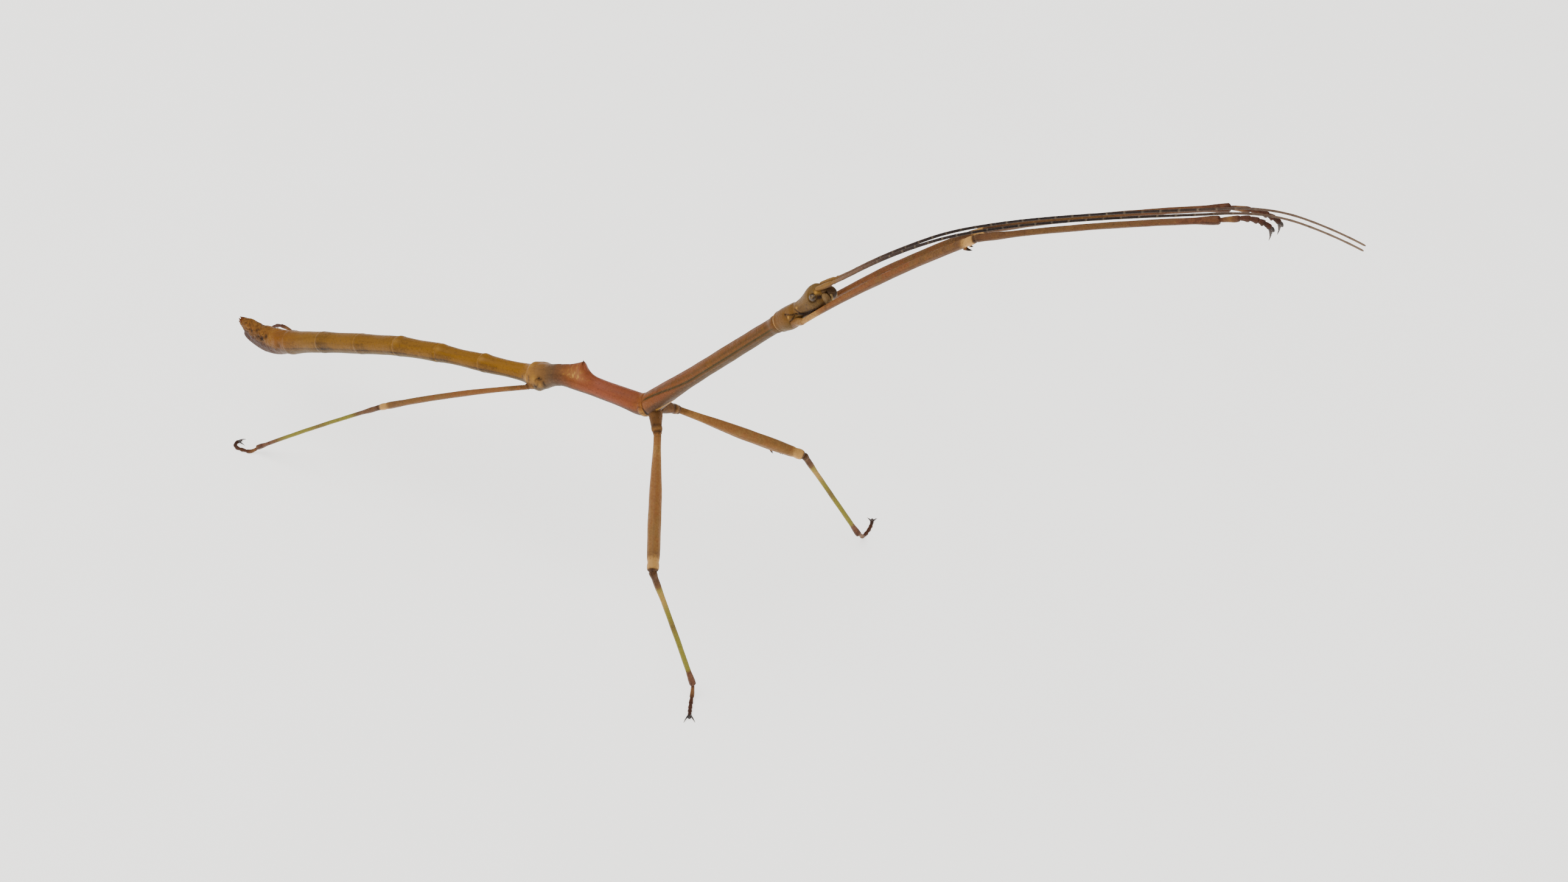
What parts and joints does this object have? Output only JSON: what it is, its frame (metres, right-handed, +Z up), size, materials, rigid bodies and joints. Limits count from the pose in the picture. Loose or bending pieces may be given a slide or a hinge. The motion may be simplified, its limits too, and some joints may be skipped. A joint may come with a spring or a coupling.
{
  "type": "stick insect",
  "caption": "Slender wingless stick insect, life-size still model, standing with forelegs and feelers stretched ahead and one hind leg held back along the body.",
  "frame": {"origin": "centre of the overall box, at the level of the feet", "axes": "+X towards the head, +Y to the insect's left, +Z up"},
  "size_m": [0.147, 0.043, 0.0766],
  "materials": {
    "body_cuticle": "satin hard cuticle, golden ochre behind and red-brown in front, fine grain and ring lines",
    "leg_cuticle": "satin hard cuticle, brown with olive bands and pale yellow thigh ends",
    "feeler_cuticle": "satin dark brown cuticle with paler rings",
    "mouth_cuticle": "satin grey-brown cuticle",
    "eye": "glossy dark brown eye surface"
  },
  "bodies": {
    "root": {"abdomen_10": "body_cuticle", "abdomen_2": "body_cuticle", "abdomen_3": "body_cuticle", "abdomen_4": "body_cuticle", "abdomen_5": "body_cuticle", "abdomen_6": "body_cuticle", "abdomen_7": "body_cuticle", "abdomen_8": "body_cuticle", "abdomen_9": "body_cuticle", "eye_left": "eye", "eye_right": "eye", "feeler_left_base": "feeler_cuticle", "feeler_left_middle": "feeler_cuticle", "feeler_left_tip": "feeler_cuticle", "feeler_right_base": "feeler_cuticle", "feeler_right_middle": "feeler_cuticle", "feeler_right_tip": "feeler_cuticle", "fore_left_coxa": "leg_cuticle", "fore_left_femur": "leg_cuticle", "fore_left_tarsus": "leg_cuticle", "fore_left_tibia": "leg_cuticle", "fore_right_coxa": "leg_cuticle", "fore_right_femur": "leg_cuticle", "fore_right_tarsus": "leg_cuticle", "fore_right_tibia": "leg_cuticle", "head": "body_cuticle", "hind_left_coxa": "leg_cuticle", "hind_left_femur": "leg_cuticle", "hind_left_tarsus": "leg_cuticle", "hind_left_tibia": "leg_cuticle", "hind_right_coxa": "leg_cuticle", "hind_right_femur": "leg_cuticle", "hind_right_tarsus": "leg_cuticle", "hind_right_tibia": "leg_cuticle", "median_segment": "body_cuticle", "mesothorax": "body_cuticle", "metathorax": "body_cuticle", "mid_left_coxa": "leg_cuticle", "mid_left_femur": "leg_cuticle", "mid_left_tarsus": "leg_cuticle", "mid_left_tibia": "leg_cuticle", "mid_right_coxa": "leg_cuticle", "mid_right_femur": "leg_cuticle", "mid_right_tarsus": "leg_cuticle", "mid_right_tibia": "leg_cuticle", "mouthparts": "mouth_cuticle", "operculum": "body_cuticle", "prothorax": "body_cuticle"}
  },
  "joints": []
}
